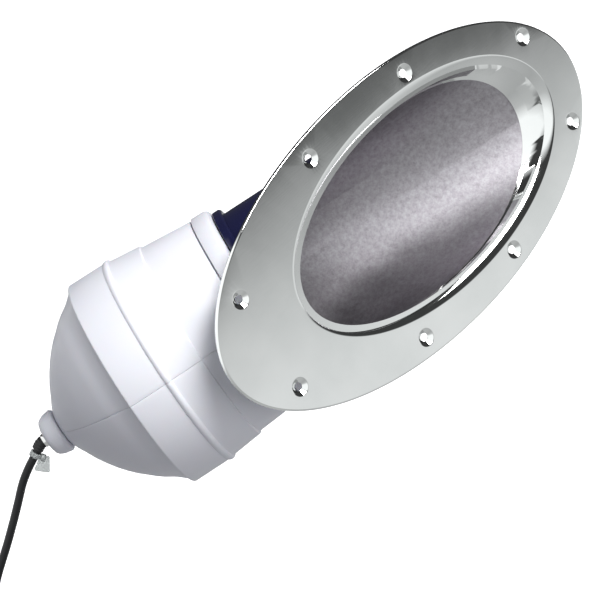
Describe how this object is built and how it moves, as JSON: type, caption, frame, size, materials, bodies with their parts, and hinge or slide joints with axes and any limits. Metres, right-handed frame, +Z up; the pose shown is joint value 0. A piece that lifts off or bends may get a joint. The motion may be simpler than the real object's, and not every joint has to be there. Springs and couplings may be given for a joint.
{
  "type": "underwater pool light",
  "caption": "Angled underwater pool light: oval polished wall flange, oblique beam tube, and a white two-part lamp housing with its cable.",
  "frame": {"origin": "centre of the wall-screw pattern, on the back face of the flange", "axes": "+Z up, -Y out of the wall into the water, +X along the flange's long axis towards the side that the beam points to; the beam tube runs back level towards -X and +Y, 60 degrees from the wall's normal"},
  "size_m": [0.5953, 0.2509, 0.344],
  "materials": {
    "polished_steel": "mirror polished stainless sheet with a spun, rolled-in lip",
    "blasted_steel": "bead-blasted stainless tube, fine matte grain",
    "navy_plastic": "glossy dark navy pipe plastic",
    "white_plastic": "cool white moulded plastic, soft satin",
    "dowel_plastic": "moulded pins",
    "seal_rubber": "black seal rubber",
    "grey_rubber": "grey grommet rubber",
    "frame_alloy": "turned and anodised ring",
    "window_glass": "toughened flat glass",
    "lamp_glass": "pressed lamp glass with small flutes",
    "mirror_coat": "silvered reflector bowl",
    "stainless": "plain stainless fittings",
    "brass": "bare brass terminals",
    "block_plastic": "ivory terminal block",
    "lead_jacket": "silicone-covered lamp leads",
    "cable_jacket": "black flexible cable jacket",
    "clear_strap": "clear strap plastic, slightly cloudy",
    "core_copper": "brown and blue core ends"
  },
  "bodies": {
    "root": {"flange": "polished_steel", "liner_tube": "blasted_steel", "niche_sleeve": "navy_plastic", "sleeve_collar": "navy_plastic"},
    "housing": {"compression_seal": "seal_rubber", "upper_shell": "white_plastic", "lower_shell": "white_plastic", "seam_dowels": "dowel_plastic", "window_frame": "frame_alloy", "frame_oring": "seal_rubber", "window_gasket": "seal_rubber", "window": "window_glass", "retaining_ring": "stainless", "retaining_screws": "stainless", "pillars": "stainless", "lamp_cradle": "stainless", "cradle_springs": "stainless", "cradle_nuts": "stainless", "spacers": "stainless", "lamp_reflector": "mirror_coat", "lamp_front_glass": "lamp_glass", "lamp_terminals": "brass", "terminal_plate": "frame_alloy", "plate_nuts": "stainless", "terminal_block": "block_plastic", "terminal_screws": "brass", "lamp_leads": "lead_jacket", "inner_cable": "cable_jacket", "cable_grommet": "grey_rubber", "cable_boot": "seal_rubber", "boot_ferrule": "stainless", "cable_tie": "clear_strap", "cable": "cable_jacket", "cable_coil": "cable_jacket", "cable_tail": "cable_jacket", "coil_tie": "clear_strap", "core_ends": "core_copper"},
    "lock_ring": {"lock_ring": "white_plastic"},
    "gland_cap": {"gland_cap": "white_plastic"}
  },
  "joints": [
    {"name": "housing_slide", "type": "slide", "parent": "root", "child": "housing", "axis": [-0.866, 0.5, 0], "range_m": [0, 0.07]},
    {"name": "lock_ring_turn", "type": "hinge", "parent": "housing", "child": "lock_ring", "pos_m": [-0.1162, 0.07575, 0], "axis": [-0.866, 0.5, 0], "range_deg": [0, 45]},
    {"name": "gland_cap_turn", "type": "hinge", "parent": "housing", "child": "gland_cap", "pos_m": [-0.27512, 0.1675, 0], "axis": [-0.866, 0.5, 0], "continuous": true}
  ]
}
